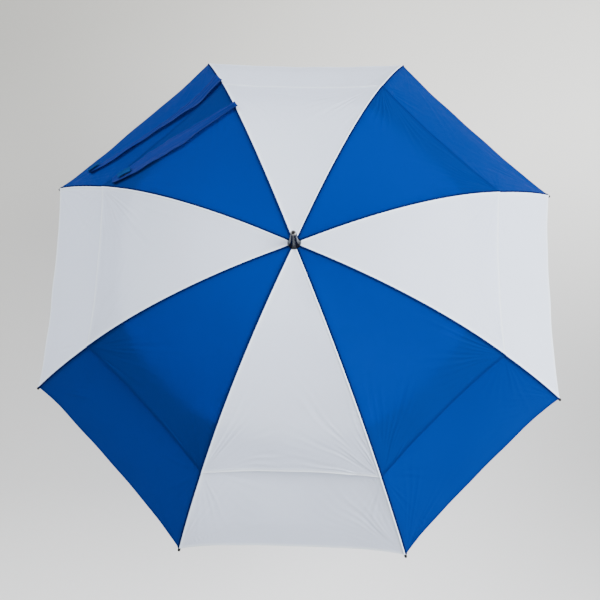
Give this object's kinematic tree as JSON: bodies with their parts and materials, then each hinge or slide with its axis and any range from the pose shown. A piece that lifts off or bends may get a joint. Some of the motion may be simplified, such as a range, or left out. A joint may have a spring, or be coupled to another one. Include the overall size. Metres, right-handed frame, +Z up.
{
  "type": "golf umbrella",
  "caption": "Open double-canopy golf umbrella with straight grip, sliding runner and folding ribs, in alternating blue and white gores with a vented overlap.",
  "frame": {"origin": "on the shaft axis at the bottom of the butt cap", "axes": "+Z up along the shaft to the ferrule, +X through the middle of a white gore, +Y through the middle of the white gore a quarter turn on"},
  "size_m": [1.231, 1.231, 1.022],
  "materials": {
    "canopy_blue": "woven polyester, slight sheen",
    "canopy_white": "woven polyester, slightly translucent",
    "rib_fibreglass": "pultruded fibreglass rod, satin black",
    "shaft_paint": "satin black tube",
    "black_plastic": "moulded black nylon",
    "gloss_black": "polished black plastic",
    "grip_foam": "closed-cell foam, matte",
    "steel": "nickel-plated steel"
  },
  "bodies": {
    "shaft_assembly": {"shaft": "shaft_paint", "crown": "black_plastic", "crown_wire": "steel", "ferrule_cap": "gloss_black", "ferrule_tip": "steel", "grip": "grip_foam", "butt_cap": "black_plastic"},
    "runner": {"runner": "black_plastic", "runner_wire": "steel"},
    "top_latch": {"top_latch": "steel"},
    "bottom_latch": {"bottom_latch": "steel"},
    "rib_inner_1": {"rib_inner_1": "rib_fibreglass"},
    "rib_outer_1": {"rib_outer_1": "rib_fibreglass", "rib_tip_1": "gloss_black"},
    "stretcher_1": {"stretcher_1": "rib_fibreglass"},
    "rib_inner_2": {"rib_inner_2": "rib_fibreglass"},
    "rib_outer_2": {"rib_outer_2": "rib_fibreglass", "rib_tip_2": "gloss_black"},
    "stretcher_2": {"stretcher_2": "rib_fibreglass"},
    "rib_inner_3": {"rib_inner_3": "rib_fibreglass"},
    "rib_outer_3": {"rib_outer_3": "rib_fibreglass", "rib_tip_3": "gloss_black"},
    "stretcher_3": {"stretcher_3": "rib_fibreglass"},
    "rib_inner_4": {"rib_inner_4": "rib_fibreglass"},
    "rib_outer_4": {"rib_outer_4": "rib_fibreglass", "rib_tip_4": "gloss_black"},
    "stretcher_4": {"stretcher_4": "rib_fibreglass"},
    "rib_inner_5": {"rib_inner_5": "rib_fibreglass"},
    "rib_outer_5": {"rib_outer_5": "rib_fibreglass", "rib_tip_5": "gloss_black"},
    "stretcher_5": {"stretcher_5": "rib_fibreglass"},
    "rib_inner_6": {"rib_inner_6": "rib_fibreglass"},
    "rib_outer_6": {"rib_outer_6": "rib_fibreglass", "rib_tip_6": "gloss_black"},
    "stretcher_6": {"stretcher_6": "rib_fibreglass"},
    "rib_inner_7": {"rib_inner_7": "rib_fibreglass"},
    "rib_outer_7": {"rib_outer_7": "rib_fibreglass", "rib_tip_7": "gloss_black"},
    "stretcher_7": {"stretcher_7": "rib_fibreglass"},
    "rib_inner_8": {"rib_inner_8": "rib_fibreglass"},
    "rib_outer_8": {"rib_outer_8": "rib_fibreglass", "rib_tip_8": "gloss_black"},
    "stretcher_8": {"stretcher_8": "rib_fibreglass"},
    "gore_1": {"upper_gore_1": "canopy_white"},
    "skirt_1": {"lower_gore_1": "canopy_white"},
    "gore_2": {"upper_gore_2": "canopy_blue"},
    "skirt_2": {"lower_gore_2": "canopy_blue"},
    "gore_3": {"upper_gore_3": "canopy_white"},
    "skirt_3": {"lower_gore_3": "canopy_white"},
    "gore_4": {"upper_gore_4": "canopy_blue"},
    "skirt_4": {"lower_gore_4": "canopy_blue", "closure_straps": "canopy_blue"},
    "gore_5": {"upper_gore_5": "canopy_white"},
    "skirt_5": {"lower_gore_5": "canopy_white"},
    "gore_6": {"upper_gore_6": "canopy_blue"},
    "skirt_6": {"lower_gore_6": "canopy_blue"},
    "gore_7": {"upper_gore_7": "canopy_white"},
    "skirt_7": {"lower_gore_7": "canopy_white"},
    "gore_8": {"upper_gore_8": "canopy_blue"},
    "skirt_8": {"lower_gore_8": "canopy_blue"}
  },
  "joints": [
    {"name": "runner_slide", "type": "slide", "parent": "shaft_assembly", "child": "runner", "axis": [0, 0, 1], "range_m": [-0.44986, 0], "deforming": ["upper_gore_1", "lower_gore_1", "upper_gore_2", "lower_gore_2", "upper_gore_3", "lower_gore_3", "upper_gore_4", "lower_gore_4", "upper_gore_5", "lower_gore_5", "upper_gore_6", "lower_gore_6", "upper_gore_7", "lower_gore_7", "upper_gore_8", "lower_gore_8", "closure_straps"]},
    {"name": "rib_fold_1", "type": "hinge", "parent": "shaft_assembly", "child": "rib_inner_1", "pos_m": [0.01293, 0.00536, 0.955], "axis": [-0.3827, 0.9239, 0], "range_deg": [0, 74.74]},
    {"name": "rib_straighten_1", "type": "hinge", "parent": "rib_inner_1", "child": "rib_outer_1", "pos_m": [0.32428, 0.13432, 0.88369], "axis": [0.3827, -0.9239, 0], "range_deg": [0, 24.18]},
    {"name": "stretcher_fold_1", "type": "hinge", "parent": "rib_inner_1", "child": "stretcher_1", "pos_m": [0.31206, 0.12926, 0.87979], "axis": [0.3827, -0.9239, 0], "range_deg": [0, 134.4]},
    {"name": "rib_fold_2", "type": "hinge", "parent": "shaft_assembly", "child": "rib_inner_2", "pos_m": [0.00536, 0.01293, 0.955], "axis": [-0.9239, 0.3827, 0], "range_deg": [0, 74.74]},
    {"name": "rib_straighten_2", "type": "hinge", "parent": "rib_inner_2", "child": "rib_outer_2", "pos_m": [0.13432, 0.32428, 0.88369], "axis": [0.9239, -0.3827, 0], "range_deg": [0, 24.18]},
    {"name": "stretcher_fold_2", "type": "hinge", "parent": "rib_inner_2", "child": "stretcher_2", "pos_m": [0.12926, 0.31206, 0.87979], "axis": [0.9239, -0.3827, 0], "range_deg": [0, 134.4]},
    {"name": "rib_fold_3", "type": "hinge", "parent": "shaft_assembly", "child": "rib_inner_3", "pos_m": [-0.00536, 0.01293, 0.955], "axis": [-0.9239, -0.3827, 0], "range_deg": [0, 74.74]},
    {"name": "rib_straighten_3", "type": "hinge", "parent": "rib_inner_3", "child": "rib_outer_3", "pos_m": [-0.13432, 0.32428, 0.88369], "axis": [0.9239, 0.3827, 0], "range_deg": [0, 24.18]},
    {"name": "stretcher_fold_3", "type": "hinge", "parent": "rib_inner_3", "child": "stretcher_3", "pos_m": [-0.12926, 0.31206, 0.87979], "axis": [0.9239, 0.3827, 0], "range_deg": [0, 134.4]},
    {"name": "rib_fold_4", "type": "hinge", "parent": "shaft_assembly", "child": "rib_inner_4", "pos_m": [-0.01293, 0.00536, 0.955], "axis": [-0.3827, -0.9239, 0], "range_deg": [0, 74.74]},
    {"name": "rib_straighten_4", "type": "hinge", "parent": "rib_inner_4", "child": "rib_outer_4", "pos_m": [-0.32428, 0.13432, 0.88369], "axis": [0.3827, 0.9239, 0], "range_deg": [0, 24.18]},
    {"name": "stretcher_fold_4", "type": "hinge", "parent": "rib_inner_4", "child": "stretcher_4", "pos_m": [-0.31206, 0.12926, 0.87979], "axis": [0.3827, 0.9239, 0], "range_deg": [0, 134.4]},
    {"name": "rib_fold_5", "type": "hinge", "parent": "shaft_assembly", "child": "rib_inner_5", "pos_m": [-0.01293, -0.00536, 0.955], "axis": [0.3827, -0.9239, 0], "range_deg": [0, 74.74]},
    {"name": "rib_straighten_5", "type": "hinge", "parent": "rib_inner_5", "child": "rib_outer_5", "pos_m": [-0.32428, -0.13432, 0.88369], "axis": [-0.3827, 0.9239, 0], "range_deg": [0, 24.18]},
    {"name": "stretcher_fold_5", "type": "hinge", "parent": "rib_inner_5", "child": "stretcher_5", "pos_m": [-0.31206, -0.12926, 0.87979], "axis": [-0.3827, 0.9239, 0], "range_deg": [0, 134.4]},
    {"name": "rib_fold_6", "type": "hinge", "parent": "shaft_assembly", "child": "rib_inner_6", "pos_m": [-0.00536, -0.01293, 0.955], "axis": [0.9239, -0.3827, 0], "range_deg": [0, 74.74]},
    {"name": "rib_straighten_6", "type": "hinge", "parent": "rib_inner_6", "child": "rib_outer_6", "pos_m": [-0.13432, -0.32428, 0.88369], "axis": [-0.9239, 0.3827, 0], "range_deg": [0, 24.18]},
    {"name": "stretcher_fold_6", "type": "hinge", "parent": "rib_inner_6", "child": "stretcher_6", "pos_m": [-0.12926, -0.31206, 0.87979], "axis": [-0.9239, 0.3827, 0], "range_deg": [0, 134.4]},
    {"name": "rib_fold_7", "type": "hinge", "parent": "shaft_assembly", "child": "rib_inner_7", "pos_m": [0.00536, -0.01293, 0.955], "axis": [0.9239, 0.3827, 0], "range_deg": [0, 74.74]},
    {"name": "rib_straighten_7", "type": "hinge", "parent": "rib_inner_7", "child": "rib_outer_7", "pos_m": [0.13432, -0.32428, 0.88369], "axis": [-0.9239, -0.3827, 0], "range_deg": [0, 24.18]},
    {"name": "stretcher_fold_7", "type": "hinge", "parent": "rib_inner_7", "child": "stretcher_7", "pos_m": [0.12926, -0.31206, 0.87979], "axis": [-0.9239, -0.3827, 0], "range_deg": [0, 134.4]},
    {"name": "rib_fold_8", "type": "hinge", "parent": "shaft_assembly", "child": "rib_inner_8", "pos_m": [0.01293, -0.00536, 0.955], "axis": [0.3827, 0.9239, 0], "range_deg": [0, 74.74]},
    {"name": "rib_straighten_8", "type": "hinge", "parent": "rib_inner_8", "child": "rib_outer_8", "pos_m": [0.32428, -0.13432, 0.88369], "axis": [-0.3827, -0.9239, 0], "range_deg": [0, 24.18]},
    {"name": "stretcher_fold_8", "type": "hinge", "parent": "rib_inner_8", "child": "stretcher_8", "pos_m": [0.31206, -0.12926, 0.87979], "axis": [-0.3827, -0.9239, 0], "range_deg": [0, 134.4]},
    {"name": "gore_fold_1", "type": "hinge", "parent": "shaft_assembly", "child": "gore_1", "pos_m": [0.01293, 0, 0.955], "axis": [0, 1, 0], "range_deg": [0, 73.15]},
    {"name": "skirt_fold_1", "type": "hinge", "parent": "gore_1", "child": "skirt_1", "pos_m": [0.32428, 0, 0.88369], "axis": [0, -1, 0], "range_deg": [0, 25.86]},
    {"name": "gore_fold_2", "type": "hinge", "parent": "shaft_assembly", "child": "gore_2", "pos_m": [0.00915, 0.00915, 0.955], "axis": [-0.7071, 0.7071, 0], "range_deg": [0, 73.15]},
    {"name": "skirt_fold_2", "type": "hinge", "parent": "gore_2", "child": "skirt_2", "pos_m": [0.2293, 0.2293, 0.88369], "axis": [0.7071, -0.7071, 0], "range_deg": [0, 25.86]},
    {"name": "gore_fold_3", "type": "hinge", "parent": "shaft_assembly", "child": "gore_3", "pos_m": [0, 0.01293, 0.955], "axis": [-1, 0, 0], "range_deg": [0, 73.15]},
    {"name": "skirt_fold_3", "type": "hinge", "parent": "gore_3", "child": "skirt_3", "pos_m": [0, 0.32428, 0.88369], "axis": [1, 0, 0], "range_deg": [0, 25.86]},
    {"name": "gore_fold_4", "type": "hinge", "parent": "shaft_assembly", "child": "gore_4", "pos_m": [-0.00915, 0.00915, 0.955], "axis": [-0.7071, -0.7071, 0], "range_deg": [0, 73.15]},
    {"name": "skirt_fold_4", "type": "hinge", "parent": "gore_4", "child": "skirt_4", "pos_m": [-0.2293, 0.2293, 0.88369], "axis": [0.7071, 0.7071, 0], "range_deg": [0, 25.86]},
    {"name": "gore_fold_5", "type": "hinge", "parent": "shaft_assembly", "child": "gore_5", "pos_m": [-0.01293, 0, 0.955], "axis": [0, -1, 0], "range_deg": [0, 73.15]},
    {"name": "skirt_fold_5", "type": "hinge", "parent": "gore_5", "child": "skirt_5", "pos_m": [-0.32428, 0, 0.88369], "axis": [0, 1, 0], "range_deg": [0, 25.86]},
    {"name": "gore_fold_6", "type": "hinge", "parent": "shaft_assembly", "child": "gore_6", "pos_m": [-0.00915, -0.00915, 0.955], "axis": [0.7071, -0.7071, 0], "range_deg": [0, 73.15]},
    {"name": "skirt_fold_6", "type": "hinge", "parent": "gore_6", "child": "skirt_6", "pos_m": [-0.2293, -0.2293, 0.88369], "axis": [-0.7071, 0.7071, 0], "range_deg": [0, 25.86]},
    {"name": "gore_fold_7", "type": "hinge", "parent": "shaft_assembly", "child": "gore_7", "pos_m": [0, -0.01293, 0.955], "axis": [1, 0, 0], "range_deg": [0, 73.15]},
    {"name": "skirt_fold_7", "type": "hinge", "parent": "gore_7", "child": "skirt_7", "pos_m": [0, -0.32428, 0.88369], "axis": [-1, 0, 0], "range_deg": [0, 25.86]},
    {"name": "gore_fold_8", "type": "hinge", "parent": "shaft_assembly", "child": "gore_8", "pos_m": [0.00915, -0.00915, 0.955], "axis": [0.7071, 0.7071, 0], "range_deg": [0, 73.15]},
    {"name": "skirt_fold_8", "type": "hinge", "parent": "gore_8", "child": "skirt_8", "pos_m": [0.2293, -0.2293, 0.88369], "axis": [-0.7071, -0.7071, 0], "range_deg": [0, 25.86]},
    {"name": "top_latch_press", "type": "hinge", "parent": "shaft_assembly", "child": "top_latch", "pos_m": [0.0034, 0, 0.6244], "axis": [0, -1, 0], "range_deg": [0, 6.2], "stiffness_Nm_per_rad": 0.8, "springref_deg": -6.88},
    {"name": "bottom_latch_press", "type": "hinge", "parent": "shaft_assembly", "child": "bottom_latch", "pos_m": [0.0034, 0, 0.254], "axis": [0, 1, 0], "range_deg": [0, 6.2], "stiffness_Nm_per_rad": 0.8, "springref_deg": -6.88}
  ],
  "couplings": [
    {"joint": "rib_fold_1", "follows": "runner_slide", "rad_per_m": -2.8991},
    {"joint": "rib_straighten_1", "follows": "runner_slide", "rad_per_m": -0.93729},
    {"joint": "stretcher_fold_1", "follows": "runner_slide", "rad_per_m": -5.2134},
    {"joint": "rib_fold_2", "follows": "runner_slide", "rad_per_m": -2.8991},
    {"joint": "rib_straighten_2", "follows": "runner_slide", "rad_per_m": -0.93729},
    {"joint": "stretcher_fold_2", "follows": "runner_slide", "rad_per_m": -5.2134},
    {"joint": "rib_fold_3", "follows": "runner_slide", "rad_per_m": -2.8991},
    {"joint": "rib_straighten_3", "follows": "runner_slide", "rad_per_m": -0.93729},
    {"joint": "stretcher_fold_3", "follows": "runner_slide", "rad_per_m": -5.2134},
    {"joint": "rib_fold_4", "follows": "runner_slide", "rad_per_m": -2.8991},
    {"joint": "rib_straighten_4", "follows": "runner_slide", "rad_per_m": -0.93729},
    {"joint": "stretcher_fold_4", "follows": "runner_slide", "rad_per_m": -5.2134},
    {"joint": "rib_fold_5", "follows": "runner_slide", "rad_per_m": -2.8991},
    {"joint": "rib_straighten_5", "follows": "runner_slide", "rad_per_m": -0.93729},
    {"joint": "stretcher_fold_5", "follows": "runner_slide", "rad_per_m": -5.2134},
    {"joint": "rib_fold_6", "follows": "runner_slide", "rad_per_m": -2.8991},
    {"joint": "rib_straighten_6", "follows": "runner_slide", "rad_per_m": -0.93729},
    {"joint": "stretcher_fold_6", "follows": "runner_slide", "rad_per_m": -5.2134},
    {"joint": "rib_fold_7", "follows": "runner_slide", "rad_per_m": -2.8991},
    {"joint": "rib_straighten_7", "follows": "runner_slide", "rad_per_m": -0.93729},
    {"joint": "stretcher_fold_7", "follows": "runner_slide", "rad_per_m": -5.2134},
    {"joint": "rib_fold_8", "follows": "runner_slide", "rad_per_m": -2.8991},
    {"joint": "rib_straighten_8", "follows": "runner_slide", "rad_per_m": -0.93729},
    {"joint": "stretcher_fold_8", "follows": "runner_slide", "rad_per_m": -5.2134},
    {"joint": "gore_fold_1", "follows": "runner_slide", "rad_per_m": -2.8374},
    {"joint": "skirt_fold_1", "follows": "runner_slide", "rad_per_m": -1.0026},
    {"joint": "gore_fold_2", "follows": "runner_slide", "rad_per_m": -2.8374},
    {"joint": "skirt_fold_2", "follows": "runner_slide", "rad_per_m": -1.0026},
    {"joint": "gore_fold_3", "follows": "runner_slide", "rad_per_m": -2.8374},
    {"joint": "skirt_fold_3", "follows": "runner_slide", "rad_per_m": -1.0026},
    {"joint": "gore_fold_4", "follows": "runner_slide", "rad_per_m": -2.8374},
    {"joint": "skirt_fold_4", "follows": "runner_slide", "rad_per_m": -1.0026},
    {"joint": "gore_fold_5", "follows": "runner_slide", "rad_per_m": -2.8374},
    {"joint": "skirt_fold_5", "follows": "runner_slide", "rad_per_m": -1.0026},
    {"joint": "gore_fold_6", "follows": "runner_slide", "rad_per_m": -2.8374},
    {"joint": "skirt_fold_6", "follows": "runner_slide", "rad_per_m": -1.0026},
    {"joint": "gore_fold_7", "follows": "runner_slide", "rad_per_m": -2.8374},
    {"joint": "skirt_fold_7", "follows": "runner_slide", "rad_per_m": -1.0026},
    {"joint": "gore_fold_8", "follows": "runner_slide", "rad_per_m": -2.8374},
    {"joint": "skirt_fold_8", "follows": "runner_slide", "rad_per_m": -1.0026}
  ]
}
